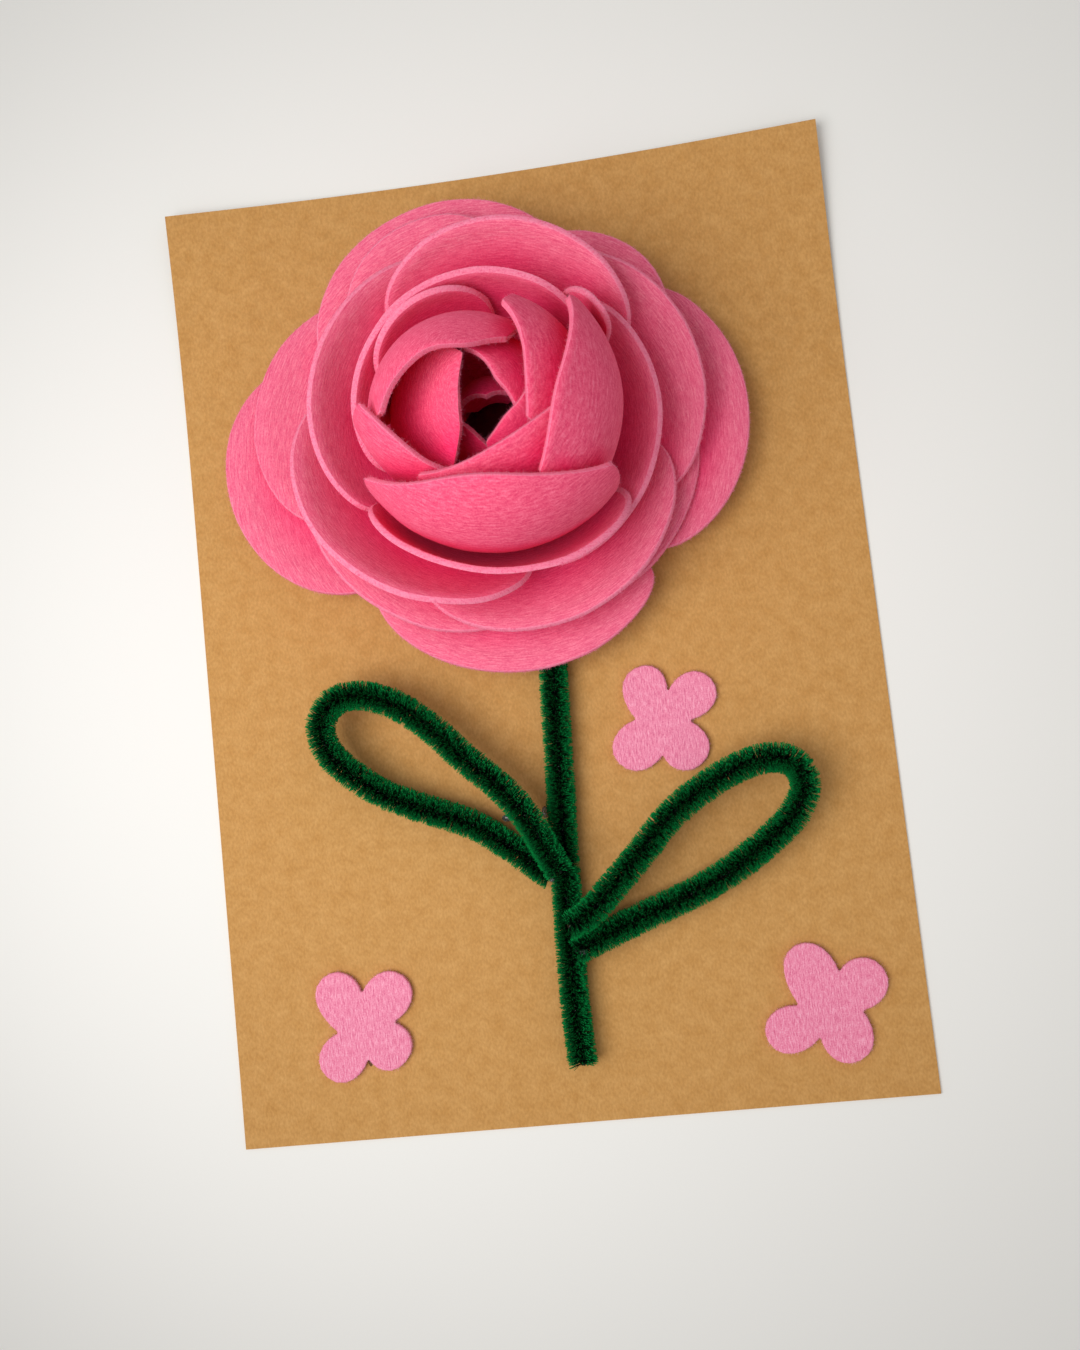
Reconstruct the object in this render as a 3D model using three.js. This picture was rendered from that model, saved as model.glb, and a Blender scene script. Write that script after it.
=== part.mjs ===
// A handmade flower card: a felt rose with a chenille stem and leaves on a kraft card.
// Millimetres, +Z up. The card lies on its back, the origin is the middle of its underside,
// +X runs to the card's right edge and +Y to its top edge.
import * as THREE from "three";

// The card: one A5 sheet of kraft board whose two top corners have curled up
const CARD_WIDTH = 148;
const CARD_HEIGHT = 210;
const CARD_THICKNESS = 0.5;
const CORNER_LIFT = 3.2;
const CURL_REACH = 60; // how far down from the top edge the curl starts

// Felt and glue
const FELT = 1.3;
const PETAL_GAP = 0.4; // left between petals that lie on each other
const GLUE_LINE = 0.3; // left between a piece and what it is stuck to

// The rose
const ROSE_X = -1;
const ROSE_Y = 39.7;
const HEART_RADIUS = 6.5; // from the rose's axis to the foot of its innermost petal
const SKIRT_LIFT = 0.4; // how far the end of the stem holds the lowest petals up

// How a petal bends by the layer that it lies in, from the heart out to the skirt.
// foot is its slope from upright where it is stuck down and curl is how fast it turns back up,
// in degrees and degrees per millimetre.
const BEND_BY_LAYER = [
  { layer: 0, foot: 30, curl: 4.3 },
  { layer: 1, foot: 56, curl: 3.55 },
  { layer: 2, foot: 70, curl: 2.95 },
  { layer: 3, foot: 77, curl: 2.65 },
  { layer: 4, foot: 79, curl: 2.5 },
  { layer: 5, foot: 82, curl: 2.2 },
  { layer: 5.5, foot: 82.5, curl: 1.7 },
  { layer: 6, foot: 83, curl: 1.55 },
  { layer: 7, foot: 85, curl: 0.8 },
  { layer: 8, foot: 87, curl: 0.6 },
  { layer: 9, foot: 89, curl: 0.25 },
];

// The petals from the heart outwards, in the order in which they lie on each other.
// turn is where the petal points and spread is half the angle that it covers, in degrees;
// length is from its foot to its tip; crown is the share of the length that is rounded off;
// skew raises one end of the rounded edge and lowers the other; layer is where it would lie by
// itself, and it lies further out where the petals before it fill that layer.
// The bud's petals end in points where their edges meet their sides, and the others are round there.
const BUD_PETALS = [
  { name: "heart_petal_1", layer: 0, turn: 98, spread: 78, length: 21.5, crown: 0.3, skew: -0.05 },
  { name: "heart_petal_2", layer: 0.4, turn: 225, spread: 51, length: 22, crown: 0.21 },
  { name: "bud_petal_1", layer: 0.9, turn: 37, spread: 72, length: 34.5, crown: 0.16, skew: 0.06 },
  { name: "bud_petal_2", layer: 1.2, turn: 177, spread: 66, length: 38.5, crown: 0.33, skew: 0.2 },
  { name: "bud_petal_3", layer: 0.9, turn: 315, spread: 50, length: 31.5, crown: 0.11, skew: 0.14 },
  { name: "bud_petal_4", layer: 1.6, turn: 123, spread: 67, length: 46, crown: 0.2, skew: 0.09 },
  { name: "bud_petal_5", layer: 2, turn: 211, spread: 30, length: 40.5, crown: 0.09, skew: -0.13 },
  { name: "bud_petal_6", layer: 1.7, turn: 13, spread: 56, length: 44, crown: 0.11, skew: -0.01 },
  { name: "bud_petal_7", layer: 2.25, turn: 293, spread: 65, length: 46, crown: 0.18, skew: 0.02 },
  { name: "bud_petal_8", layer: 3, turn: 349, spread: 52, length: 52, crown: 0.19, skew: -0.07 },
  { name: "bud_petal_9", layer: 4.05, turn: 266, spread: 58, length: 54.5, crown: 0.27, skew: 0.04 },
];
const OPEN_PETALS = [
  { name: "cup_petal_1", layer: 2.5, turn: 120, spread: 37, length: 32, crown: 0.5 },
  { name: "cup_petal_2", layer: 5, turn: 268, spread: 60, length: 39, crown: 0.4, skew: -0.06 },
  { name: "cup_petal_3", layer: 3.2, turn: 115, spread: 80, length: 32, crown: 0.45, skew: -0.06 },
  { name: "cup_petal_4", layer: 4.06, turn: 41, spread: 15, length: 35.5, crown: 0.21, skew: -0.1 },
  { name: "cup_petal_5", layer: 5.72, turn: 345, spread: 60, length: 28, crown: 0.15, skew: 0.12 },
  { name: "open_petal_1", layer: 5.6, turn: 79, spread: 53, length: 40, crown: 0.45 },
  { name: "open_petal_2", layer: 5.5, turn: 153, spread: 56, length: 37, crown: 0.3, skew: -0.04 },
  { name: "open_petal_3", layer: 6, turn: 218, spread: 62, length: 40, crown: 0.5, skew: -0.06 },
  { name: "open_petal_4", layer: 7.3, turn: 294, spread: 60, length: 34, crown: 0.35, skew: -0.04 },
  { name: "open_petal_5", layer: 6.6, turn: 19, spread: 46, length: 37, crown: 0.3, skew: 0.08 },
  { name: "open_petal_6", layer: 8.1, turn: 225, spread: 45, length: 36, crown: 0.2, skew: -0.08 },
  { name: "open_petal_7", layer: 7.1, turn: 321, spread: 49, length: 32, crown: 0.15, skew: 0.04 },
  { name: "open_petal_8", layer: 7.4, turn: 111, spread: 38, length: 42, crown: 0.55, skew: -0.04 },
  { name: "skirt_petal_1", layer: 8.3, turn: 108, spread: 45, length: 46, crown: 0.4 },
  { name: "skirt_petal_2", layer: 8.2, turn: 161, spread: 42, length: 47, crown: 0.5 },
  { name: "skirt_petal_3", layer: 8.1, turn: 55, spread: 36, length: 42, crown: 0.5 },
  { name: "skirt_petal_4", layer: 8.3, turn: 267, spread: 48, length: 40, crown: 0.25 },
  { name: "skirt_petal_5", layer: 8.5, turn: 2, spread: 48, length: 44, crown: 0.4, skew: 0.08 },
  { name: "skirt_petal_6", layer: 9, turn: 185, spread: 40, length: 53, crown: 0.55, skew: -0.08 },
];
const PETALS = [...BUD_PETALS.map((petal) => ({ ...petal, pointed: true })), ...OPEN_PETALS];
const FOOT_SHARE = 0.42; // a petal's spread at its foot, as a share of its widest
const FACET_TURN = 22; // that one facet turns along a petal, in degrees
const FACET_SPREAD = 12; // of one facet round the rose, in degrees
const STEEPEST_TILT = 0.022; // layers per degree that one side of a petal may lie deeper
const TILT_STEPS = 20; // tilts that are tried to each side
const BED_STEPS = 16; // places where a petal's bed is felt out, to each side of its middle
const SAME_LAYER = 1e-9; // layers closer than this are the same

// Chenille: pile twisted into a wire. The stem lies flat on the card. A leaf starts on top of the stem, runs
// level to its tip and comes down to the card beside the stem.
const PILE_RADIUS = 3;
const BORE_RADIUS = 0.75;
const WIRE_RADIUS = 0.45;
const WIRE_END = 0.6; // how far the wire stands out of the pile where it is cut
const LEAF_LIFT = 2 * PILE_RADIUS + GLUE_LINE; // how much higher a leaf lies where it crosses the stem
const PILE_FACET = 3.2; // along the leaves
const STEM_FACET = 12; // along the straighter stem
const PILE_SIDES = 8;
const WIRE_SIDES = 5;
// Centre lines seen from above, from end to end
const STEM_LINE = [[4.4, -1], [3.8, -9], [2.9, -28.4], [1.7, -53.8], [0.9, -78.9], [1.2, -91.7]];
const LEFT_LEAF_LINE = [
  [0.9, -51.1], [-1.7, -45.5], [-5, -38.8], [-9.2, -33.1], [-16.3, -26], [-23.5, -18.2], [-30.8, -12.7],
  [-37.8, -10.3], [-43.6, -11.4], [-46.5, -15.9], [-45.4, -21.6], [-40.8, -27], [-35, -31.6], [-26, -36],
  [-17, -39.9], [-10.5, -44.9], [-4.4, -50.4],
];
const RIGHT_LEAF_LINE = [
  [2.2, -62.4], [5.5, -60.9], [9.1, -57.9], [13.3, -53.9], [18.5, -48.8], [25.4, -41.9], [33.6, -36.6],
  [41.6, -33.3], [47.7, -32.5], [52, -34.7], [53, -39.2], [50.1, -44.7], [42.9, -50.7], [34.6, -55.9],
  [26.7, -59.5], [18.5, -62.7], [6, -68],
];

// Small four-lobed flowers cut from thinner felt
const SMALL_FELT = 1.1;
const LOBE_WIDTH = 10;
const LOBE_SHOULDER = 0.62; // how far out a lobe is at its widest, and how round there, as shares
const LOBE_TIP = 0.46; // how round a lobe is at its end, as a share of its width
// Notches and lobes by turns: where each points, in degrees, and how far it is from the flower's middle
const SMALL_FLOWERS = [
  {
    name: "small_flower_1",
    middle: [26.1, -22.5],
    notches: [[356, 5.3], [77, 5.6], [170, 5.9], [263, 7]],
    lobes: [[36, 13.7], [112, 13], [217, 13.2], [305, 12.2]],
  },
  {
    name: "small_flower_2",
    middle: [-44.9, -81],
    notches: [[4, 5.9], [92, 6.9], [188, 6], [270, 6.5]],
    lobes: [[47, 13.6], [128, 14], [227, 13.7], [316, 11.4]],
  },
  {
    name: "small_flower_3",
    middle: [53.8, -85.3],
    notches: [[348, 6.4], [69, 7.1], [174, 6.5], [244, 6.5]],
    lobes: [[31, 13.5], [114, 14.3], [204, 15], [292, 12.3]],
  },
];

const RADIAN = Math.PI / 180;
const LAYER_STEP = FELT + PETAL_GAP;

const kraft = new THREE.MeshStandardMaterial({ color: 0xb98748, roughness: 0.85 });
const roseFelt = new THREE.MeshStandardMaterial({ color: 0xe8567f, roughness: 0.95 });
const smallFelt = new THREE.MeshStandardMaterial({ color: 0xf598b4, roughness: 0.95 });
const chenille = new THREE.MeshStandardMaterial({ color: 0x0b4a22, roughness: 0.9 });
const wire = new THREE.MeshStandardMaterial({ color: 0x8f9690, roughness: 0.35, metalness: 1 });
const glue = new THREE.MeshStandardMaterial({ color: 0xe6e2d4, roughness: 0.3 });

// The shorter way round from one angle to another, in degrees
function angleBetween(from, to) {
  return ((((to - from + 180) % 360) + 360) % 360) - 180;
}

// A value of BEND_BY_LAYER between its rows
function bendAt(layer, key) {
  const last = BEND_BY_LAYER.length - 1;
  let row = 0;
  while (row < last - 1 && layer > BEND_BY_LAYER[row + 1].layer) row++;
  const [low, high] = [BEND_BY_LAYER[row], BEND_BY_LAYER[row + 1]];
  const share = (layer - low.layer) / (high.layer - low.layer);
  return low[key] + (high[key] - low[key]) * Math.min(share, 1);
}

// How far apart two neighbouring layers are at a distance along the petals, in millimetres
function layerSpacing(layer, along) {
  const nudge = 0.1;
  const bends = [layer, layer + nudge].map((l) => ({
    start: bendAt(l, "foot") * RADIAN,
    curl: bendAt(l, "curl") * RADIAN,
  }));
  const [inner, outer] = bends.map(({ start, curl }) => ({
    slope: start - curl * along,
    radius: (Math.cos(start - curl * along) - Math.cos(start)) / curl,
    height: (Math.sin(start) - Math.sin(start - curl * along)) / curl,
  }));
  const out = outer.radius - inner.radius + LAYER_STEP * nudge * Math.cos(bends[0].start);
  const up = outer.height - inner.height - LAYER_STEP * nudge * Math.sin(bends[0].start);
  return (out * Math.cos(inner.slope) - up * Math.sin(inner.slope)) / nudge;
}

// How far a petal's edge is rounded off, from 0 in its middle to 1 at its sides
function edgeDrop(petal, across) {
  return petal.pointed ? across * across : 1 - Math.sqrt(1 - across * across);
}

// How long a petal is at a share of the way across it, from -1 at one side to 1 at the other
function lengthAt(petal, across) {
  return petal.length * (1 - petal.crown * edgeDrop(petal, across) + (petal.skew ?? 0) * across);
}

// Where along its length a petal starts and ends at an angle away from its middle
function petalRange(petal, away) {
  const across = Math.max(-1, Math.min(away / petal.spread, 1));
  const widen = Math.max(0, (Math.abs(across) - FOOT_SHARE) / (1 - FOOT_SHARE));
  return {
    from: lengthAt(petal, Math.sign(across)) * (Math.asin(widen) / (Math.PI / 2)),
    to: lengthAt(petal, across),
  };
}

// The lowest layer that a petal can take at an angle away from its middle, over the petals already laid
function lowestLayer(petal, away, laid) {
  const range = petalRange(petal, away);
  let lowest = 0;
  for (const other of laid) {
    const otherAway = angleBetween(other.turn, petal.turn + away);
    if (Math.abs(otherAway) > other.spread) continue;
    const otherRange = petalRange(other, otherAway);
    const from = Math.max(range.from, otherRange.from);
    const to = Math.min(range.to, otherRange.to);
    if (from > to) continue;
    const layer = other.layer + other.tilt * otherAway;
    const [middle, half] = [(from + to) / 2, (to - from) / 2];
    const spacings = spreadOut(2).map((share) => layerSpacing(layer, middle + half * share));
    lowest = Math.max(lowest, layer + LAYER_STEP / Math.min(...spacings));
  }
  return lowest;
}

// Numbers from -1 to 1, as many steps to each side of 0
function spreadOut(steps) {
  return Array.from({ length: 2 * steps + 1 }, (_, i) => i / steps - 1);
}

// Lays each petal on those before it: straight across, as low at its middle as they let it lie.
// Its bed is felt out at places across it, and of the tilts that let it lie as low the smallest is taken.
function layPetals(petals) {
  const tilts = spreadOut(TILT_STEPS).map((share) => share * STEEPEST_TILT);
  tilts.sort((a, b) => Math.abs(a) - Math.abs(b));
  const laid = [];
  for (const petal of petals) {
    const bed = spreadOut(BED_STEPS).map((share) => {
      const away = petal.spread * share;
      return { away, layer: lowestLayer(petal, away, laid) };
    });
    let best = { layer: Infinity, tilt: 0 };
    for (const tilt of tilts) {
      const layer = Math.max(petal.layer, ...bed.map((spot) => spot.layer - tilt * spot.away));
      if (layer < best.layer - SAME_LAYER) best = { layer, tilt };
    }
    laid.push({ ...petal, ...best });
  }
  return laid;
}

const laidPetals = layPetals(PETALS);
const lastLayer = Math.max(...laidPetals.map((p) => p.layer + Math.abs(p.tilt) * p.spread));

// Where the feet of the petals of a layer are: each layer's lie one felt and one gap further out and down
const FOOT_STEPS = 200;
const feet = [{ radius: HEART_RADIUS, drop: 0 }];
for (let step = 0; step < FOOT_STEPS; step++) {
  const slope = bendAt((lastLayer * (step + 0.5)) / FOOT_STEPS, "foot") * RADIAN;
  const move = (LAYER_STEP * lastLayer) / FOOT_STEPS;
  feet.push({
    radius: feet[step].radius + move * Math.cos(slope),
    drop: feet[step].drop + move * Math.sin(slope),
  });
}
const LOWEST_FOOT = CARD_THICKNESS + GLUE_LINE + SKIRT_LIFT + FELT / 2;
function footAt(layer) {
  const place = Math.min(Math.max(layer / lastLayer, 0), 1) * FOOT_STEPS;
  const step = Math.min(Math.floor(place), FOOT_STEPS - 1);
  const share = place - step;
  const mix = (key) => feet[step][key] + (feet[step + 1][key] - feet[step][key]) * share;
  return { radius: mix("radius"), height: LOWEST_FOOT + feet[FOOT_STEPS].drop - mix("drop") };
}

// A point of the rose: at an angle, in a layer, along a petal from its foot and out from its mid-surface
function rosePoint(angle, layer, along, out) {
  const foot = footAt(layer);
  const start = bendAt(layer, "foot") * RADIAN;
  const curl = bendAt(layer, "curl") * RADIAN;
  const slope = start - curl * along;
  const radius = foot.radius + (Math.cos(slope) - Math.cos(start)) / curl + out * Math.cos(slope);
  const height = foot.height + (Math.sin(start) - Math.sin(slope)) / curl - out * Math.sin(slope);
  return new THREE.Vector3(radius * Math.cos(angle * RADIAN), radius * Math.sin(angle * RADIAN), height);
}

// A petal: a flat blank of felt, cut to its rounded outline and bent into its layer
function petalMesh(petal) {
  const columns = 2 * Math.ceil(petal.spread / FACET_SPREAD);
  const rows = Math.max(3, Math.ceil((petal.length * bendAt(petal.layer, "curl")) / FACET_TURN));
  const blank = new THREE.BoxGeometry(2, 1, FELT, columns, rows, 1);
  const place = blank.getAttribute("position");
  for (let i = 0; i < place.count; i++) {
    const across = Math.sin((place.getX(i) * Math.PI) / 2);
    const share = place.getY(i) + 0.5;
    const widen = FOOT_SHARE + (1 - FOOT_SHARE) * Math.sin((share * Math.PI) / 2);
    const away = petal.spread * across * widen;
    const point = rosePoint(
      petal.turn + away,
      petal.layer + petal.tilt * away,
      lengthAt(petal, across) * share,
      place.getZ(i),
    );
    place.setXYZ(i, point.x, point.y, point.z);
  }
  const mesh = new THREE.Mesh(blank, roseFelt);
  mesh.name = petal.name;
  return mesh;
}

// The card: a flat sheet whose top corners curl up
function cardMesh() {
  const [columns, rows] = [6, 10];
  const sheet = new THREE.BoxGeometry(CARD_WIDTH, CARD_HEIGHT, CARD_THICKNESS, columns, rows, 1);
  const place = sheet.getAttribute("position");
  for (let i = 0; i < place.count; i++) {
    const rise = Math.max(0, 1 - (CARD_HEIGHT / 2 - place.getY(i)) / CURL_REACH) ** 2;
    const side = (place.getX(i) / (CARD_WIDTH / 2)) ** 2;
    place.setZ(i, place.getZ(i) + CARD_THICKNESS / 2 + CORNER_LIFT * rise * side);
  }
  const mesh = new THREE.Mesh(sheet, kraft);
  mesh.name = "card";
  return mesh;
}

// The set glue that the feet of all the petals are stuck to
function glueMesh() {
  const [rings, sides] = [8, 20];
  const bottom = CARD_THICKNESS + GLUE_LINE;
  const profile = [new THREE.Vector2(0, bottom)];
  for (let step = rings; step >= 0; step--) {
    const layer = (lastLayer * step) / rings;
    const foot = footAt(layer);
    const slope = bendAt(layer, "foot") * RADIAN;
    const radius = foot.radius - GLUE_LINE * Math.sin(slope);
    if (step === rings) profile.push(new THREE.Vector2(radius, bottom));
    profile.push(new THREE.Vector2(radius, foot.height - GLUE_LINE * Math.cos(slope)));
  }
  profile.push(new THREE.Vector2(0, profile[profile.length - 1].y));
  const mesh = new THREE.Mesh(new THREE.LatheGeometry(profile, sides), glue);
  mesh.name = "rose_glue";
  mesh.rotation.x = Math.PI / 2;
  return mesh;
}

// A round shape with or without a hole, to be drawn out along a centre line
function roundShape(radius, sides, holeRadius, holeSides) {
  const ring = (r, n) =>
    Array.from({ length: n }, (_, i) => {
      const angle = ((i + 0.5) / n) * 2 * Math.PI;
      return new THREE.Vector2(r * Math.cos(angle), r * Math.sin(angle));
    });
  const shape = new THREE.Shape(ring(radius, sides));
  if (holeRadius) shape.holes.push(new THREE.Path(ring(holeRadius, holeSides)));
  return shape;
}

// One length of chenille: its pile and, inside it, its wire
function chenilleMeshes(name, line, facet, lift) {
  const height = CARD_THICKNESS + GLUE_LINE + PILE_RADIUS;
  const points = line.map(([x, y], i) => {
    const share = Math.max(0.5, i / (line.length - 1));
    const rise = Math.sin(Math.PI * share) ** 2;
    return new THREE.Vector3(x, y, height + lift * rise);
  });
  const path = new THREE.CatmullRomCurve3(points);
  const steps = Math.ceil(path.getLength() / facet);
  const pile = new THREE.Mesh(
    new THREE.ExtrudeGeometry(
      roundShape(PILE_RADIUS, PILE_SIDES, BORE_RADIUS, WIRE_SIDES),
      { steps, extrudePath: path },
    ),
    chenille,
  );
  pile.name = name;
  const wirePoints = path.getSpacedPoints(steps);
  wirePoints[0].addScaledVector(path.getTangentAt(0), -WIRE_END);
  wirePoints[steps].addScaledVector(path.getTangentAt(1), WIRE_END);
  const wirePath = new THREE.CatmullRomCurve3(wirePoints);
  const core = new THREE.Mesh(
    new THREE.ExtrudeGeometry(roundShape(WIRE_RADIUS, WIRE_SIDES), { steps, extrudePath: wirePath }),
    wire,
  );
  core.name = name + "_wire";
  return [pile, core];
}

// A small flower: four rounded lobes with a sharp notch between each two
function smallFlowerMesh({ name, middle, notches, lobes }) {
  const at = ([turn, reach], share = 1, aside = 0) => {
    const [c, s] = [Math.cos(turn * RADIAN), Math.sin(turn * RADIAN)];
    return [reach * share * c - aside * s, reach * share * s + aside * c];
  };
  const shape = new THREE.Shape();
  shape.moveTo(...at(notches[0]));
  lobes.forEach((lobe, i) => {
    const [shoulder, side] = [LOBE_WIDTH * LOBE_SHOULDER, LOBE_WIDTH * LOBE_TIP];
    const next = notches[(i + 1) % notches.length];
    shape.bezierCurveTo(...at(lobe, LOBE_SHOULDER, -shoulder), ...at(lobe, 1, -side), ...at(lobe));
    shape.bezierCurveTo(...at(lobe, 1, side), ...at(lobe, LOBE_SHOULDER, shoulder), ...at(next));
  });
  const cut = new THREE.ExtrudeGeometry(shape, { depth: SMALL_FELT, bevelEnabled: false, curveSegments: 6 });
  const mesh = new THREE.Mesh(cut, smallFelt);
  mesh.name = name;
  mesh.position.set(middle[0], middle[1], CARD_THICKNESS + GLUE_LINE);
  return mesh;
}

const flowerCard = new THREE.Group();
flowerCard.add(cardMesh());

const rose = new THREE.Group();
rose.position.set(ROSE_X, ROSE_Y, 0);
rose.add(glueMesh());
for (const petal of laidPetals) rose.add(petalMesh(petal));
flowerCard.add(rose);

flowerCard.add(...chenilleMeshes("stem", STEM_LINE, STEM_FACET, 0));
flowerCard.add(...chenilleMeshes("left_leaf", LEFT_LEAF_LINE, PILE_FACET, LEAF_LIFT));
flowerCard.add(...chenilleMeshes("right_leaf", RIGHT_LEAF_LINE, PILE_FACET, LEAF_LIFT));
for (const flower of SMALL_FLOWERS) flowerCard.add(smallFlowerMesh(flower));

export default flowerCard;
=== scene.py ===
import math

import bmesh
import bpy
import numpy as np
from mathutils import Matrix, Vector, noise
from mathutils.bvhtree import BVHTree
from mathutils.geometry import interpolate_bezier


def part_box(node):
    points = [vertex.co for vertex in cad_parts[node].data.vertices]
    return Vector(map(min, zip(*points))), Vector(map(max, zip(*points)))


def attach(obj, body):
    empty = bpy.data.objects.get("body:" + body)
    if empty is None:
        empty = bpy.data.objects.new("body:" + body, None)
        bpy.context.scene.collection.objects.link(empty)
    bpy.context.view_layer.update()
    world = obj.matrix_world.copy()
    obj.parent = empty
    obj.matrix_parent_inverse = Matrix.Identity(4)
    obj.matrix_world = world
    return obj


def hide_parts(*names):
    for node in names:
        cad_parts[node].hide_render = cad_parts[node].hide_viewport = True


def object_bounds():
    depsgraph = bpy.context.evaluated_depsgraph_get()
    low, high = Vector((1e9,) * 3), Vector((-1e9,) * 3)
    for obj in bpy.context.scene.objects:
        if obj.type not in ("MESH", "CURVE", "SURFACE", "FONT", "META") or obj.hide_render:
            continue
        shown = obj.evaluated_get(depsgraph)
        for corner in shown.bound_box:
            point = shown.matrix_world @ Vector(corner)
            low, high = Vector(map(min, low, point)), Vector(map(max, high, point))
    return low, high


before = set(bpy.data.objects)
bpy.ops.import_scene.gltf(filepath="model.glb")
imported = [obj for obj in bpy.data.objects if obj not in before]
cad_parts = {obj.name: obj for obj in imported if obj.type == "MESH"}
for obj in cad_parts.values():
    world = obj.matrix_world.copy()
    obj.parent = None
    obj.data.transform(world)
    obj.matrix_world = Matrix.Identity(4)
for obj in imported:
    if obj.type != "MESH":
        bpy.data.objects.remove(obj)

cad_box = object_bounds()

# The card
# One A5 sheet of brown kraft board, half a millimetre thick, cut square with a blade.
# Its two top corners have curled up a little, and everything else is glued to its front.
MM = 0.001
SAME_POINT = 0.001 * MM  # points of the CAD's triangles closer than this are one
CARD_FLAT = math.radians(30)  # the card's triangles are joined in pairs that turn less than this
CARD_EDGE = math.radians(45)  # its edges that turn more than this are cut edges


def linear(hex_colour):
    """An sRGB hex colour as linear red, green, blue and alpha."""
    shares = [int(hex_colour[i:i + 2], 16) / 255 for i in (1, 3, 5)]
    return [s / 12.92 if s <= 0.04045 else ((s + 0.055) / 1.055) ** 2.4 for s in shares] + [1]


def add_node(tree, kind, inputs=None, **settings):
    """Adds a shader node with its settings; an input is a value, or a socket to link from."""
    made = tree.nodes.new("ShaderNode" + kind)
    for setting, value in settings.items():
        setattr(made, setting, value)
    for key, value in (inputs or {}).items():
        if isinstance(value, bpy.types.NodeSocket):
            tree.links.new(value, made.inputs[key])
        else:
            made.inputs[key].default_value = value
    return made


def merged_copy(node):
    """A CAD node's triangles as one closed mesh to work on."""
    mesh = bmesh.new()
    mesh.from_mesh(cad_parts[node].data)
    bmesh.ops.remove_doubles(mesh, verts=mesh.verts, dist=SAME_POINT)
    return mesh


def add_piece(name, mesh, material):
    """Makes an object of a mesh or bmesh, with its material, that rides on the one body."""
    if isinstance(mesh, bmesh.types.BMesh):
        work, mesh = mesh, bpy.data.meshes.new(name)
        work.to_mesh(mesh)
        work.free()
    piece = bpy.data.objects.new(name, mesh)
    bpy.context.scene.collection.objects.link(piece)
    piece.data.materials.append(material)
    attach(piece, "root")
    return piece


def finished_mesh(carrier):
    """The mesh that an object makes with its modifiers, or a curve with its thickness.
    The object itself is then removed."""
    bpy.context.scene.collection.objects.link(carrier)
    finished = carrier.evaluated_get(bpy.context.evaluated_depsgraph_get())
    mesh = bpy.data.meshes.new_from_object(finished)
    bpy.data.objects.remove(carrier)
    return mesh


def smoothed(mesh, levels):
    """A bmesh after Catmull-Clark smoothing, as a mesh."""
    rough = bpy.data.meshes.new("rough")
    mesh.to_mesh(rough)
    mesh.free()
    carrier = bpy.data.objects.new("carrier", rough)
    smoothing = carrier.modifiers.new("smoothing", "SUBSURF")
    smoothing.levels = smoothing.render_levels = levels
    smoothing.uv_smooth = "NONE"
    made = finished_mesh(carrier)
    bpy.data.meshes.remove(rough)
    return made


def new_material(name, inputs):
    """A material whose Principled shader has these inputs."""
    made = bpy.data.materials.new(name)
    made.use_nodes = True
    shader = made.node_tree.nodes["Principled BSDF"]
    for key, value in inputs.items():
        shader.inputs[key].default_value = value
    return made


# Kraft board: unbleached pulp pressed to a matt sheet, so the eye sees soft blotches of a
# darker brown, a fine grain of fibres and a few dark specks of bark.
BLOTCH_SIZE = 3 * MM
GRAIN_SIZE, GRAIN_RELIEF = 0.5 * MM, 0.05 * MM
GRAIN_LIE = {"Rotation": (0, 0, 0.5), "Scale": (1, 0.6, 1)}
SPECKS = ((0.6, 21 * MM), (2.3, 29 * MM))  # which way they lie, in radians, and how far apart
SPECK_STRETCH = (1, 0.35, 1)
SPECK_SHARE = 0.03  # how much of that distance a speck takes up
kraft = new_material("kraft_board", {"Roughness": 0.82, "Specular IOR Level": 0.3})
tree = kraft.node_tree
place = add_node(tree, "TexCoord").outputs["Object"]
blotch = add_node(
    tree, "TexNoise", {"Vector": place, "Scale": 1 / BLOTCH_SIZE, "Detail": 5, "Roughness": 0.6}
)
fibre_lie = add_node(tree, "Mapping", {"Vector": place, **GRAIN_LIE})
fibres = add_node(
    tree, "TexNoise", {"Vector": fibre_lie.outputs[0], "Scale": 1 / GRAIN_SIZE, "Detail": 2}
)
tone = add_node(tree, "ValToRGB", {"Fac": blotch.outputs["Fac"]})
tone.color_ramp.elements[0].position = 0.3
tone.color_ramp.elements[0].color = linear("#C6914F")
tone.color_ramp.elements[1].position = 0.7
tone.color_ramp.elements[1].color = linear("#D29F5E")
grain = add_node(tree, "ValToRGB", {"Fac": fibres.outputs["Fac"]})
grain.color_ramp.elements[0].position = 0.3
grain.color_ramp.elements[0].color = linear("#EAE6E0")
grain.color_ramp.elements[1].position = 0.7
grain.color_ramp.elements[1].color = linear("#FFFFFF")
board = add_node(
    tree, "Mix", {0: 1.0, 6: tone.outputs["Color"], 7: grain.outputs["Color"]},
    data_type="RGBA", blend_type="MULTIPLY"
).outputs[2]
for turn, spacing in SPECKS:
    lie = add_node(tree, "Mapping", {"Vector": place, "Rotation": (0, 0, turn), "Scale": SPECK_STRETCH})
    cells = add_node(tree, "TexVoronoi", {"Vector": lie.outputs[0], "Scale": 1 / spacing})
    near = add_node(tree, "Math", {0: cells.outputs["Distance"], 1: SPECK_SHARE}, operation="LESS_THAN")
    board = add_node(
        tree, "Mix", {0: near.outputs[0], 6: board, 7: linear("#6B4A28")}, data_type="RGBA"
    ).outputs[2]
kraft_relief = add_node(
    tree, "Bump", {"Height": fibres.outputs["Fac"], "Strength": 0.15, "Distance": GRAIN_RELIEF}
)
shader = tree.nodes["Principled BSDF"]
tree.links.new(board, shader.inputs["Base Color"])
tree.links.new(kraft_relief.outputs[0], shader.inputs["Normal"])

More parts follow.
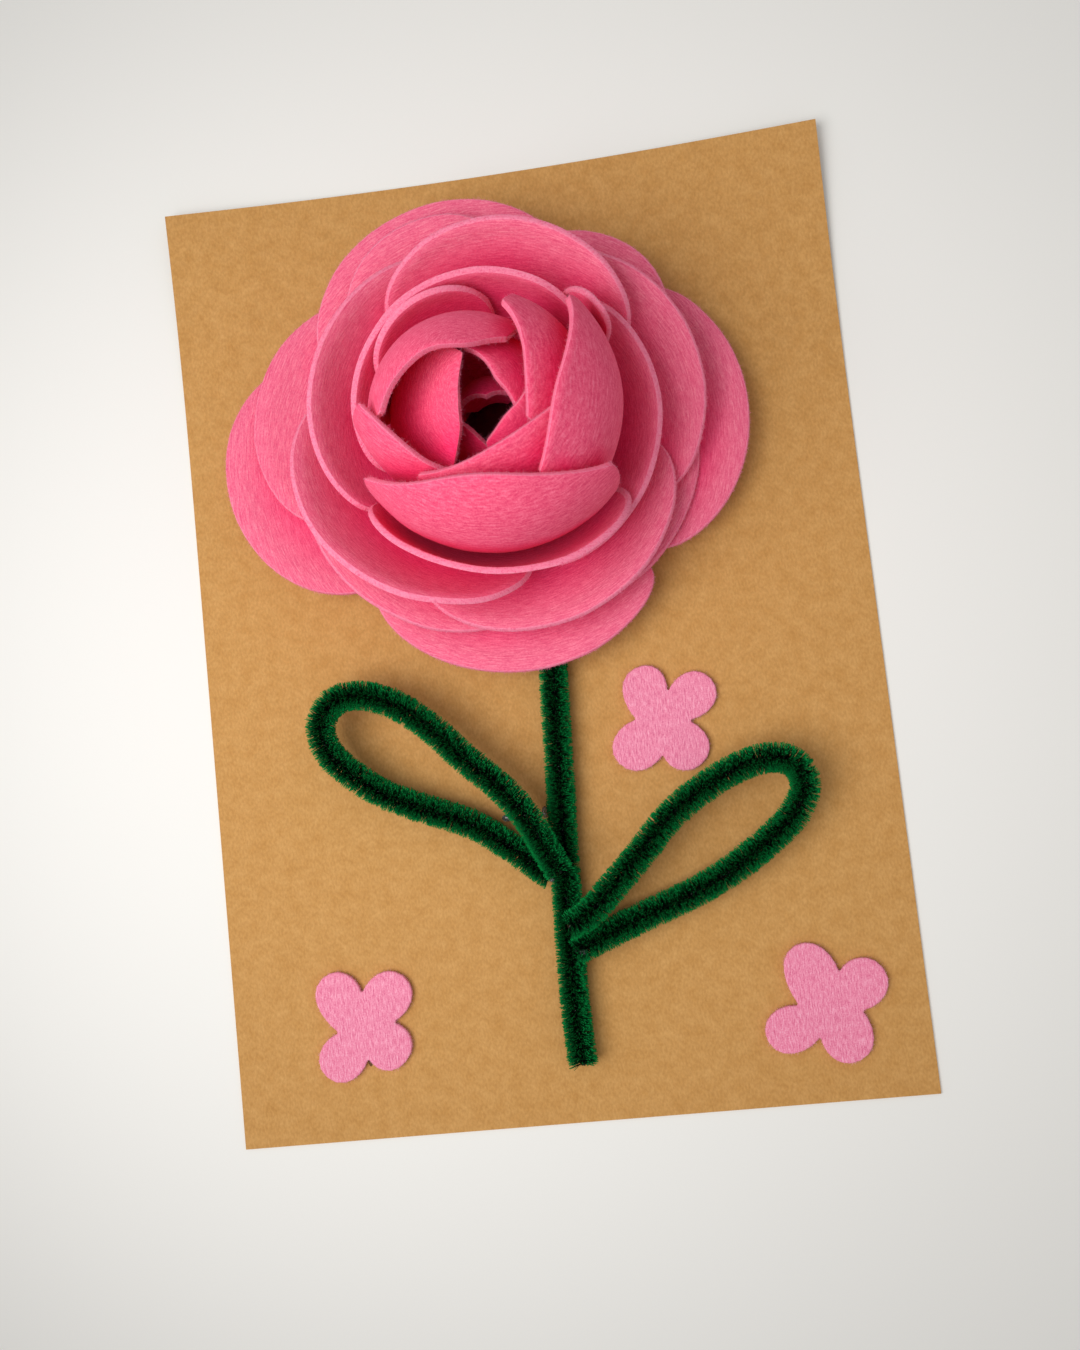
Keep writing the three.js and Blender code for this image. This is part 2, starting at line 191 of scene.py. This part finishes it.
sheet = merged_copy("card")
bmesh.ops.join_triangles(
    sheet, faces=sheet.faces, angle_face_threshold=CARD_FLAT, angle_shape_threshold=CARD_FLAT
)
crease = sheet.edges.layers.float.new("crease_edge")
for edge in sheet.edges:
    if edge.calc_face_angle() > CARD_EDGE:
        edge[crease] = 1
card = add_piece("kraft_card", smoothed(sheet, levels=3), kraft)
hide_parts("card")

# The glue under the rose
# A core of hot glue that all the petals' feet are stuck to, hidden but for a glimpse down the heart.
# It set clear; here it is drawn opaque and dark red, painted shade down the heart tinted by the felt around
# it.
heart_glue_painted_shade = new_material(
    "hot_glue_painted_shade", {"Base Color": linear("#3A0A12"), "Roughness": 0.35, "IOR": 1.48}
)
core = smoothed(merged_copy("rose_glue"), levels=1)
rose_glue = add_piece("rose_glue_core", core, heart_glue_painted_shade)
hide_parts("rose_glue")

# The rose's petals
# Thirty pieces of pink craft felt, cut by hand to rounded outlines and stuck down at their feet,
# each lapping over the next from the heart outwards. The scissors leave a paler, softly furred rim.
glue_low, glue_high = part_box("rose_glue")
rose_middle = (glue_low + glue_high) / 2
noise.seed_set(7)  # so that the felt has the same waves at each run
SHEET_TURN, SHEET_SKEW = math.radians(40), math.radians(60)  # limits for joining triangles in pairs
RIM_TURN = math.radians(50)  # the sheet's edges that turn more than this are its cut rim
ROUND_CORNER, POINTED_CORNER = math.radians(50), math.radians(28)  # corners that turn more keep a point
RIM_ROUND = 0.35 * MM
WAVE_LENGTH, WAVE_HEIGHT = 9 * MM, 0.2 * MM
HEART_SWELL = 4.5 * MM  # how far the heart's left petal swells towards the one that laps over it
SWELL_SPREAD = 1.6  # how quickly the swelling fades to the petal's sides
HEART_SINK = 0.9  # how far it sinks where it swells, as a share of that
HEART_TUCK = np.array((1.3, 7.3, -1)) * MM  # how far its upper corner is drawn in under that petal
TUCK_ALONG = (-14.7 * MM, -1 * MM)  # where the tuck starts and is whole, along y from the rose's middle
TUCK_RISE = (0.64, 0.9)  # and by how high up the petal, as shares of its height
# Painted shade: where other petals shut off a point's outlook, the felt is drawn darker and redder
PAINTED_SHADE_RAY_START, PAINTED_SHADE_RAY_REACH = 0.3 * MM, 22 * MM  # where a look out from the felt begins and ends
PAINTED_SHADE_TINT = "#FF94D2"
LOOKS_OUT = 64
GOLDEN_TURN = 2.4  # radians from one look to the next, which spreads them evenly over a ball
OUTLOOK = []
for k, z in enumerate(np.linspace(-0.98, 0.98, LOOKS_OUT)):
    level = math.sqrt(1 - z * z)
    OUTLOOK.append(Vector((math.cos(GOLDEN_TURN * k) * level, math.sin(GOLDEN_TURN * k) * level, z)))
# The felt's patterns, drawn coarser than its real fibres so that they show
SWIRL_SIZE, SWIRL_PUSH = 2.5 * MM, 0.5 * MM
STREAK_LENGTH, STREAK_WIDTH = 1.7 * MM, 0.28 * MM
TANGLE_SIZE, TANGLE_RELIEF = 0.3 * MM, 0.12 * MM
CLOUD_SIZE = 7 * MM


def felt(name, shade, deep, pale, rim):
    """Craft felt: matted synthetic fibre, matt and furry, combed one way so that it shows fine streaks.
    Between petals its colour is darkened and reddened: painted shade and bounce light from the felt around
    it."""
    made = new_material(name, {
        "Roughness": 0.95, "Specular IOR Level": 0.1,
        "Sheen Weight": 0.12, "Sheen Roughness": 0.4, "Sheen Tint": linear(pale),
    })
    tree = made.node_tree
    lie = add_node(tree, "UVMap", uv_map="grain").outputs[0]
    swirl = add_node(tree, "TexNoise", {"Vector": lie, "Scale": 1 / SWIRL_SIZE, "Detail": 1})
    wander = add_node(
        tree, "VectorMath", {0: swirl.outputs["Color"], 1: (SWIRL_PUSH, SWIRL_PUSH, 0), 2: lie},
        operation="MULTIPLY_ADD"
    )
    combed = add_node(
        tree, "Mapping", {"Vector": wander.outputs[0], "Scale": (1 / STREAK_LENGTH, 1 / STREAK_WIDTH, 1)}
    )
    streaks = add_node(
        tree, "TexNoise", {"Vector": combed.outputs[0], "Scale": 1, "Detail": 2, "Roughness": 0.6}
    )
    tangle = add_node(
        tree, "TexNoise", {"Vector": lie, "Scale": 1 / TANGLE_SIZE, "Detail": 3, "Roughness": 0.8}
    )
    clouds = add_node(tree, "TexNoise", {"Vector": lie, "Scale": 1 / CLOUD_SIZE, "Detail": 2})
    mixed = add_node(tree, "Math", {0: streaks.outputs["Fac"], 1: tangle.outputs["Fac"]}, operation="ADD")
    tone = add_node(tree, "ValToRGB", {"Fac": add_node(
        tree, "MapRange", {"Value": mixed.outputs[0], "From Min": 0.75, "From Max": 1.25}
    ).outputs[0]})
    tone.color_ramp.elements[0].color = linear(deep)
    tone.color_ramp.elements[1].color = linear(pale)
    middle = tone.color_ramp.elements.new(0.5)
    middle.color = linear(shade)
    # Painted shade and bounce light: the colour is multiplied by a redder tint where other petals shut off
    # the outlook
    painted_shade_share = add_node(tree, "Attribute", attribute_name="painted_shade_share")
    painted_shade_amount = add_node(
        tree, "MapRange", {"Value": painted_shade_share.outputs["Fac"], "From Min": 0.25, "From Max": 0.75}
    )
    painted_shade_mix = add_node(
        tree, "Mix", {0: painted_shade_amount.outputs[0], 6: tone.outputs["Color"], 7: linear(PAINTED_SHADE_TINT)},
        data_type="RGBA", blend_type="MULTIPLY"
    )
    patchy = add_node(tree, "HueSaturation", {"Color": painted_shade_mix.outputs[2], "Value": add_node(
        tree, "MapRange", {"Value": clouds.outputs["Fac"], "To Min": 0.96, "To Max": 1.04}
    ).outputs[0]})
    cut = add_node(tree, "Attribute", attribute_name="cut")
    frayed = add_node(tree, "MapRange", {"Value": tangle.outputs["Fac"], "From Min": 0.3, "From Max": 0.6})
    share = add_node(tree, "Math", {0: cut.outputs["Fac"], 1: frayed.outputs[0]}, operation="MULTIPLY")
    colour = add_node(
        tree, "Mix", {0: share.outputs[0], 6: patchy.outputs[0], 7: linear(rim)}, data_type="RGBA"
    )
    relief = add_node(
        tree, "Bump", {"Height": mixed.outputs[0], "Strength": 0.5, "Distance": TANGLE_RELIEF}
    )
    shader = tree.nodes["Principled BSDF"]
    tree.links.new(colour.outputs[2], shader.inputs["Base Color"])
    tree.links.new(relief.outputs[0], shader.inputs["Normal"])
    return made


def add_waves(mesh):
    """The slight unevenness of hand-cut felt: each point is pushed aside a little, its neighbours alike."""
    for vertex in mesh.vertices:
        vertex.co += noise.noise_vector(vertex.co / WAVE_LENGTH) * WAVE_HEIGHT


def mark_painted_shade(sheet, around):
    """Marks each point of a sheet with the share of its outlook that the felt around it takes up; the
    felt's colour paints shade by it.
    """
    painted_shade_share = sheet.verts.layers.float.new("painted_shade_share")
    for vertex in sheet.verts:
        start = vertex.co + vertex.normal * PAINTED_SHADE_RAY_START
        facing = [(way, way.dot(vertex.normal)) for way in OUTLOOK if way.dot(vertex.normal) > 0]
        shut = sum(share for way, share in facing if around.ray_cast(start, way, PAINTED_SHADE_RAY_REACH)[0])
        vertex[painted_shade_share] = shut / sum(share for way, share in facing)


def petal_mesh(node, corner_turn):
    """A petal's CAD sheet with its rim rounded and marked, and smoothed. A corner of the sheet where all
    its edges turn by more than corner_turn keeps a point."""
    sheet = merged_copy(node)
    # the share of each point's outlook that other petals shut off, for the felt's painted shade
    mark_painted_shade(sheet, felt_around)
    bmesh.ops.join_triangles(
        sheet, faces=sheet.faces, angle_face_threshold=SHEET_TURN, angle_shape_threshold=SHEET_SKEW
    )
    pointed = sheet.verts.layers.float.new("crease_vert")
    sharp = [e for e in sheet.edges if e.calc_face_angle() > RIM_TURN]
    turning = {e for e in sheet.edges if e.calc_face_angle() > corner_turn}
    corners = [v for v in sheet.verts if len(v.link_edges) == 3 and turning.issuperset(v.link_edges)]
    points = [corner.co.copy() for corner in corners]
    rounded = bmesh.ops.bevel(
        sheet, geom=sharp, offset=RIM_ROUND, offset_type="OFFSET", segments=1, profile=0.5,
        affect="EDGES", material=-1, clamp_overlap=True
    )
    rim = set(rounded["verts"])
    for vertex in rim:
        vertex[pointed] = float(any((vertex.co - point).length < 2 * RIM_ROUND for point in points))
    cut = sheet.loops.layers.float.new("cut")
    crease = sheet.edges.layers.float.new("crease_edge")
    for face in sheet.faces:
        on_rim = all(v in rim for v in face.verts)
        for loop in face.loops:
            loop[cut] = float(on_rim)
            if on_rim and not all(v in rim for f in loop.edge.link_faces for v in f.verts):
                loop.edge[crease] = 1
    mesh = smoothed(sheet, levels=2)
    add_waves(mesh)
    return mesh


def round_rose(mesh):
    """A petal's points from the rose's middle, how far each is from the rose's axis, and its angle round
    that axis from the petal's middle."""
    points = np.empty(len(mesh.vertices) * 3)
    mesh.vertices.foreach_get("co", points)
    points = points.reshape(-1, 3) - np.array(rose_middle)
    towards = points.mean(0)
    angle = np.arctan2(
        towards[0] * points[:, 1] - towards[1] * points[:, 0],
        towards[0] * points[:, 0] + towards[1] * points[:, 1],
    )
    return points, np.hypot(points[:, 0], points[:, 1]), angle


def fill_heart(mesh):
    """Swells and sinks the heart's left petal into the hollow beside it, and tucks in its upper corner."""
    points, radius, angle = round_rose(mesh)
    rise = (points[:, 2] - points[:, 2].min()) / np.ptp(points[:, 2])
    fading = np.clip(SWELL_SPREAD * np.cos(SWELL_SPREAD * angle), 0, 1)
    swell = HEART_SWELL * np.sin(np.pi * rise ** 2) * fading
    tuck = np.interp(points[:, 1], TUCK_ALONG, (0, 1)) * np.interp(rise, TUCK_RISE, (0, 1))
    points[:, :2] *= (1 + swell / radius)[:, None]
    points[:, 2] -= HEART_SINK * swell
    points += tuck[:, None] * HEART_TUCK
    mesh.vertices.foreach_set("co", (points + np.array(rose_middle)).ravel())


def lay_grain(mesh):
    """Lays a petal's grain round the rose, and gives the petal's area and its width round the rose."""
    points, radius, angle = round_rose(mesh)
    foot = radius.argmin()
    along = np.hypot(radius - radius[foot], points[:, 2] - points[foot, 2])
    corners = np.empty(len(mesh.loops), int)
    mesh.loops.foreach_get("vertex_index", corners)
    grain = mesh.uv_layers.new(name="grain")
    grain.uv.foreach_set("vector", np.stack([angle * radius.mean(), along], 1)[corners].ravel())
    return sum(face.area for face in mesh.polygons) / 2, np.ptp(angle) * radius.mean()


rose_felt = felt("rose_felt", shade="#EF6E8E", deep="#E0547B", pale="#FA8CA3", rim="#F38BA8")
# The bud's and heart's petals: the same felt drawn a deeper pink, painted shade of the crowded bud
bud_felt_painted_deeper = felt("bud_felt_painted_deeper", shade="#F15A7E", deep="#E2426C", pale="#FC7896", rim="#F2809E")
petal_nodes = [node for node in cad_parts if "_petal_" in node]
all_felt = bmesh.new()
for node in petal_nodes:
    all_felt.from_mesh(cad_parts[node].data)
felt_around = BVHTree.FromBMesh(all_felt)
all_felt.free()
petals = []
for node in petal_nodes:
    round_ends = node.startswith(("cup", "open", "skirt"))
    mesh = petal_mesh(node, ROUND_CORNER if round_ends else POINTED_CORNER)
    if node == "bud_petal_2":
        fill_heart(mesh)
    area, width = lay_grain(mesh)
    material = rose_felt if round_ends else bud_felt_painted_deeper
    petal = add_piece(node.replace("_petal_", "_felt_"), mesh, material)
    petal.data.shade_smooth()
    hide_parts(node)
    petals.append(petal)

# The fur on the petals' rims
# Loose ends of felt fibre, about half a millimetre long, that stand out where the scissors cut.
# Each is drawn thicker than the real fibre, so that it shows.
draws = np.random.default_rng(7)
FUR_PER_MM2 = 8.5
FUR_LENGTH, FUR_RADIUS = 0.5 * MM, 0.02 * MM
FUR_SHORTEST = 0.3  # length of the shortest, as a share of that
FUR_SCATTER = 0.5  # how far fibres stray from standing straight out
FUR_DROOP = 0.2 * MM  # how far a tip may hang below its root


def needle_mesh(name, roots, tips, radius, starts=0.0):
    """Fibres as closed three-sided needles from roots to tips, with an attribute that runs along each from
    its start, 0 or 1, to the other. There are tens of thousands, so they are laid out as arrays of one
    needle's four corners."""
    count = len(roots)
    starts = np.broadcast_to(starts, count)
    axis = tips - roots
    axis /= np.linalg.norm(axis, axis=1)[:, None]
    upright = np.abs(axis[:, 2:3]) >= 0.9
    side = np.cross(axis, np.where(upright, (1.0, 0.0, 0.0), (0.0, 0.0, 1.0)))
    side /= np.linalg.norm(side, axis=1)[:, None]
    other = np.cross(axis, side)
    turns = np.radians((0, 120, 240))
    ring = [roots + radius * (side * math.cos(t) + other * math.sin(t)) for t in turns]
    points = np.stack([*ring, tips], 1).reshape(-1, 3)
    faces = np.array(((0, 2, 1), (0, 1, 3), (1, 2, 3), (2, 0, 3)))
    faces = (faces[None] + 4 * np.arange(count)[:, None, None]).reshape(-1, 3)
    mesh = bpy.data.meshes.new(name)
    mesh.from_pydata(points.tolist(), [], faces.tolist())
    share = mesh.attributes.new("share", "FLOAT", "POINT")
    share.data.foreach_set("value", np.column_stack([starts, starts, starts, 1 - starts]).ravel())
    return mesh


def rim_fur(pieces, name):
    """Roots on the marked rims of felt pieces, and tips that stand out from them at random."""
    roots, tips = [], []
    for piece in pieces:
        mesh = piece.data
        cut = mesh.attributes["cut"].data
        for face in mesh.polygons:
            if cut[face.loop_start].value < 0.5:
                continue
            corners = np.array([mesh.vertices[v].co for v in face.vertices])
            for _ in range(draws.poisson(face.area / MM ** 2 * FUR_PER_MM2)):
                root = draws.dirichlet(np.ones(len(corners))) @ corners
                outward = np.array(face.normal) + draws.normal(0, FUR_SCATTER, 3)
                roots.append(root)
                tip = root + outward * FUR_LENGTH * draws.uniform(FUR_SHORTEST, 1)
                tip[2] = max(tip[2], root[2] - FUR_DROOP)
                tips.append(tip)
    return needle_mesh(name, np.array(roots), np.array(tips), FUR_RADIUS)


def fur_fibre(name, colour):
    """Loose felt fibre: dyed polyester, paler than the sheet because light passes through single fibres."""
    return new_material(name, {"Base Color": linear(colour), "Roughness": 0.7, "Specular IOR Level": 0.2})


rose_fibre = fur_fibre("rose_fibre", "#F08AA8")
add_piece("rose_fur", rim_fur(petals, "rose_fur"), rose_fibre)

# The chenille stem and leaves
# Lengths of pipe cleaner: tufts of dark green fibre held between two thin wires twisted together, so that
# they stand out all round in a double helix. The leaves are bent into loops and glued to the stem.
PILE_RADIUS = 3 * MM
PILE_FLOOR = cad_box[0].z + 0.6 * MM  # fibres stop just above the card's front
WIRE_PITCH = 1.8 * MM  # one full turn of the twist
WIRE_RADIUS = 0.28 * MM
WIRE_END = 0.6 * MM
WIRE_RIM = math.radians(80)  # edges of the CAD wire that turn more than this go round its cut ends
TUFTS_PER_MM = 80
TUFT_SPREAD = 0.9  # how far tufts fan out round the wire, in radians
TUFT_REACH, TUFT_UNEVEN = 1.07, 0.03  # how far out tufts go and how much that varies, in pile radii
TUFT_LEAN = 0.13  # how far tufts lean along the wire, as a slope
END_LENGTH, END_LEAN = 2 * MM, 0.15  # those near an end lean out over it by up to this much more
FIBRES_PER_TUFT = 4
FIBRE_RADIUS = 0.085 * MM  # each fibre stands for several finer ones
FIBRE_SPREAD, FIBRE_LEAN, FIBRE_UNEVEN = 0.1, 0.05, 0.02  # how the fibres of a tuft differ in these
THICK_ROOTS = 0.7  # share of the fibres that are thicker at the wire than at their tips
CURVE_POINTS = 60
LINE_STEP = 0.25 * MM
# How far the lower end of each leaf is pressed aside, into the pile of the stem and of its other end
PRESSED_ENDS = {
    "left_leaf": np.array((3, -2.1, 0.5)) * MM,
    "right_leaf": np.array((-3.2, -0.2, 2)) * MM,
}
PRESSED_LENGTH = 25 * MM


def run_lengths(line):
    """How far along a line each of its points is."""
    return np.concatenate([[0], np.linalg.norm(np.diff(line, axis=0), axis=1).cumsum()])


def wire_line(node, pressed):
    """Points along the middle of a CAD wire, close together, from its higher end to its lower, which is
    pressed aside, and how far along each is."""
    tube = merged_copy(node)
    tube.verts.index_update()
    cut_edges = [e for e in tube.edges if e.calc_face_angle() > WIRE_RIM]
    ring = set(cut_edges[0].verts)
    for _ in cut_edges:
        ring |= {v for e in cut_edges if ring & set(e.verts) for v in e.verts}
    seen, middles = set(), []
    while ring:
        middles.append(sum((v.co for v in sorted(ring, key=lambda v: v.index)), Vector()) / len(ring))
        seen |= ring
        ring = {e.other_vert(v) for v in ring for e in v.link_edges} - seen
    tube.free()
    line = []
    for i in range(len(middles) - 1):
        here, there = middles[i], middles[i + 1]
        before, after = middles[max(i - 1, 0)], middles[min(i + 2, len(middles) - 1)]
        leaving, coming = here + (there - before) / 6, there - (after - here) / 6
        line += interpolate_bezier(here, leaving, coming, there, CURVE_POINTS)[:-1]
    line = np.array(line + [middles[-1]])
    if line[0, 2] < line[-1, 2]:
        line = line[::-1]
    gone = run_lengths(line)
    share = np.interp(gone[-1] - gone, (0, PRESSED_LENGTH), (1, 0))
    line = line + (share ** 2 * (3 - 2 * share))[:, None] * pressed
    gone = run_lengths(line)
    spots = np.linspace(0, gone[-1], int(gone[-1] / LINE_STEP) + 1)
    return np.stack([np.interp(spots, gone, line[:, k]) for k in range(3)], 1), spots


def line_frame(line):
    """At each point of a line: which way it runs, and two directions square to it, one level and one up."""
    ahead = np.gradient(line, axis=0)
    ahead /= np.linalg.norm(ahead, axis=1)[:, None]
    level = np.cross(ahead, (0.0, 0.0, 1.0))
    level /= np.linalg.norm(level, axis=1)[:, None]
    return ahead, level, np.cross(level, ahead)


def twisted_wires(name, line, spots):
    """Two round wires twisted together along a line, as one mesh."""
    ahead, level, up = line_frame(line)
    route = bpy.data.curves.new(name, "CURVE")
    route.dimensions = "3D"
    route.bevel_depth = WIRE_RADIUS
    route.bevel_resolution = 1
    route.use_fill_caps = True
    for start in (0, math.pi):
        turn = 2 * math.pi * spots / WIRE_PITCH + start
        points = line + WIRE_RADIUS * (level * np.cos(turn)[:, None] + up * np.sin(turn)[:, None])
        strand = route.splines.new("POLY")
        strand.points.add(len(points) - 1)
        strand.points.foreach_set("co", np.column_stack([points, np.ones(len(points))]).ravel())
    mesh = finished_mesh(bpy.data.objects.new(name, route))
    bpy.data.curves.remove(route)
    return mesh


def pile_mesh(name, line, spots):
    """The fibres of one length, in tufts: each tuft stands out from the wire where the twist holds it."""
    ahead, level, up = line_frame(line)
    tufts = int((spots[-1] - 2 * WIRE_END) / MM * TUFTS_PER_MM)
    place = draws.uniform(WIRE_END, spots[-1] - WIRE_END, tufts)
    turn = 2 * math.pi * place / WIRE_PITCH + math.pi * draws.integers(0, 2, tufts)
    turn += draws.normal(0, TUFT_SPREAD, tufts)
    lean = draws.normal(0, TUFT_LEAN, tufts)
    from_start, to_end = place - WIRE_END, spots[-1] - WIRE_END - place
    lean -= np.clip(1 - from_start / END_LENGTH, 0, 1) * draws.uniform(0, END_LEAN, tufts)
    lean += np.clip(1 - to_end / END_LENGTH, 0, 1) * draws.uniform(0, END_LEAN, tufts)
    reach = PILE_RADIUS * draws.normal(TUFT_REACH, TUFT_UNEVEN, tufts)
    place, turn, lean, reach = (np.repeat(v, FIBRES_PER_TUFT) for v in (place, turn, lean, reach))
    turn += draws.normal(0, FIBRE_SPREAD, len(turn))
    lean += draws.normal(0, FIBRE_LEAN, len(lean))
    reach *= draws.normal(1, FIBRE_UNEVEN, len(reach))
    pick = np.clip((place / LINE_STEP).astype(int), 0, len(line) - 1)
    outward = level[pick] * np.cos(turn)[:, None] + up[pick] * np.sin(turn)[:, None]
    outward += ahead[pick] * lean[:, None]
    outward /= np.linalg.norm(outward, axis=1)[:, None]
    tips = line[pick] + outward * reach[:, None]
    tips[:, 2] = np.maximum(tips[:, 2], PILE_FLOOR)
    roots = line[pick] + outward * 2 * WIRE_RADIUS
    thick_root = draws.uniform(0, 1, len(tips)) < THICK_ROOTS
    wide, narrow = (np.where(thick_root[:, None], a, b) for a, b in ((roots, tips), (tips, roots)))
    return needle_mesh(name, wide, narrow, FIBRE_RADIUS, thick_root.astype(float))


# Chenille fibre: dark green rayon, brighter at the tips and drawn nearly black towards the roots, painted
# shade where no light comes.
chenille = new_material("chenille_fibre", {"Roughness": 0.8, "Specular IOR Level": 0.06})
tree = chenille.node_tree
along = add_node(tree, "Attribute", attribute_name="share")
green = add_node(tree, "ValToRGB", {"Fac": along.outputs["Fac"]})
green.color_ramp.elements[0].position = 0
green.color_ramp.elements[0].color = linear("#012A10")
green.color_ramp.elements[1].position = 0.75
green.color_ramp.elements[1].color = linear("#011006")
for position, colour in ((0.04, "#0C9C4A"), (0.2, "#077036"), (0.45, "#023516")):
    green.color_ramp.elements.new(position).color = linear(colour)
tree.links.new(green.outputs["Color"], tree.nodes["Principled BSDF"].inputs["Base Color"])

# Bare steel wire, dulled, that glints in dots where the fibres part.
steel = new_material(
    "bare_steel_wire", {"Base Color": linear("#2A302C"), "Metallic": 1, "Roughness": 0.3}
)

for node in ("stem", "left_leaf", "right_leaf"):
    line, spots = wire_line(node + "_wire", PRESSED_ENDS.get(node, 0))
    twisted = twisted_wires(node + "_twisted_wire", line, spots)
    wires = add_piece(node + "_twisted_wire", twisted, steel)
    wires.data.shade_smooth()
    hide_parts(node + "_wire")
    pile = add_piece(node + "_pile", pile_mesh(node + "_pile", line, spots), chenille)
    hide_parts(node)

# Drops of hot glue
# They set clear where the leaves were stuck to the stem and in the crotch of the left leaf.
# Each has its place and radius in millimetres, and how far it is drawn out along x and y.
GLUE_DROPS = (
    ((-9.7, -39.6, 1.6), 0.9, (1.3, 0.9)), ((-1.4, -39.2, 1.8), 0.9, (0.8, 1.4)),
    ((-1.2, -53.4, 4.6), 0.6, (1.0, 0.8)), ((3.9, -68.6, 6.6), 0.8, (1.3, 0.9)),
)
DROP_FLATNESS = 0.7
# Set hot glue: a clear resin, smooth from its melt, so it shines and lets some of the green through.
drop_glue = new_material("set_glue_drop", {
    "Base Color": linear("#9BAAA6"), "Roughness": 0.12, "IOR": 1.48, "Transmission Weight": 0.8,
})
drops = bmesh.new()
for place, radius, drawn in GLUE_DROPS:
    shape = Matrix.Translation(Vector(place) * MM) @ Matrix.Diagonal((*drawn, DROP_FLATNESS, 1))
    bmesh.ops.create_icosphere(drops, subdivisions=3, radius=radius * MM, matrix=shape)
glue_drops = add_piece("glue_drops", drops, drop_glue)
glue_drops.data.shade_smooth()

# The small flowers
# Three blossoms of thinner, paler felt, cut freehand with four lobes each and glued flat to the card.
FLOWER_VOXEL = 0.3 * MM
FLOWER_RIM = 0.6  # faces that look up by less than this are its cut rim


def flower_mesh(node):
    """A small flower's CAD sheet, remeshed fine enough for its soft rim and uneven face."""
    carrier = bpy.data.objects.new("carrier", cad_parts[node].data.copy())
    weld = carrier.modifiers.new("weld", "WELD")
    weld.merge_threshold = SAME_POINT
    remesh = carrier.modifiers.new("remesh", "REMESH")
    remesh.mode = "VOXEL"
    remesh.voxel_size = FLOWER_VOXEL
    soften = carrier.modifiers.new("soften", "SMOOTH")
    soften.factor = 0.5
    soften.iterations = 2
    mesh = finished_mesh(carrier)
    mesh.materials.clear()
    low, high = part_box(node)
    mesh.attributes.new("cut", "FLOAT", "CORNER")
    grain = mesh.uv_layers.new(name="grain")
    cut = mesh.attributes["cut"]
    for face in mesh.polygons:
        on_rim = float(abs(face.normal.z) < FLOWER_RIM)
        for corner in face.loop_indices:
            spot = mesh.vertices[mesh.loops[corner].vertex_index].co
            cut.data[corner].value = on_rim
            grain.uv[corner].vector = (spot.y, spot.x)
    return mesh, high - low


pale_felt = felt("pale_felt", shade="#EF8BA9", deep="#D86A8D", pale="#FCB2C8", rim="#F4A2BB")
flowers = []
for node in ("small_flower_1", "small_flower_2", "small_flower_3"):
    mesh, size = flower_mesh(node)
    area = sum(face.area for face in mesh.polygons) / 2
    flower = add_piece(node.replace("flower", "blossom"), mesh, pale_felt)
    flower.data.shade_smooth()
    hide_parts(node)
    flowers.append(flower)
pale_fibre = fur_fibre("pale_fibre", "#F5AAC1")
add_piece("blossom_fur", rim_fur(flowers, "blossom_fur"), pale_fibre)

# The floor, the light and the camera
# A plain pale table top, broad light from a window on the left over an even room light,
# and the photograph's view from above.
FLOOR_SIDE = 4
ROOM_LIGHT = 0.47
WINDOW_SIDE, WINDOW_POWER, WINDOW_SPREAD = 0.24, 0.325, math.radians(100)
WINDOW_PLACE, WINDOW_AIM = Vector((-0.14, -0.045, 0.29)), Vector((0.03, 0.035, 0))
VIEW_SENSOR, VIEW_LENS = 36, 29.3
VIEW_PLACE = (19.48 * MM, -29.33 * MM, 239.33 * MM)
VIEW_TURN = [math.radians(a) for a in (4.223, 5.004, -6.085)]
floor_sheet = bmesh.new()
bmesh.ops.create_grid(floor_sheet, x_segments=1, y_segments=1, size=FLOOR_SIDE / 2)
floor_mesh = bpy.data.meshes.new("floor")
floor_sheet.to_mesh(floor_mesh)
floor_sheet.free()
floor = bpy.data.objects.new("floor", floor_mesh)
bpy.context.scene.collection.objects.link(floor)
# A painted table top: matt and nearly white, so that it throws an even light back.
floor_mesh.materials.append(
    new_material("pale_table_top", {"Base Color": linear("#EFEDE8"), "Roughness": 0.8})
)

world = bpy.data.worlds.new("room")
bpy.context.scene.world = world
world.use_nodes = True
world.node_tree.nodes["Background"].inputs["Color"].default_value = (1, 1, 1, 1)
world.node_tree.nodes["Background"].inputs["Strength"].default_value = ROOM_LIGHT

window = bpy.data.lights.new("window", "AREA")
window.shape = "RECTANGLE"
window.size = window.size_y = WINDOW_SIDE
window.energy = WINDOW_POWER
window.spread = WINDOW_SPREAD
window_place = bpy.data.objects.new("window", window)
bpy.context.scene.collection.objects.link(window_place)
window_place.location = WINDOW_PLACE
window_place.rotation_euler = (WINDOW_AIM - WINDOW_PLACE).to_track_quat("-Z", "Y").to_euler()

view = bpy.data.cameras.new("view")
view.sensor_width = VIEW_SENSOR
view.lens = VIEW_LENS
camera = bpy.data.objects.new("view", view)
bpy.context.scene.collection.objects.link(camera)
camera.location = VIEW_PLACE
camera.rotation_euler = VIEW_TURN
bpy.context.scene.camera = camera
bpy.context.scene.view_settings.view_transform = "Standard"
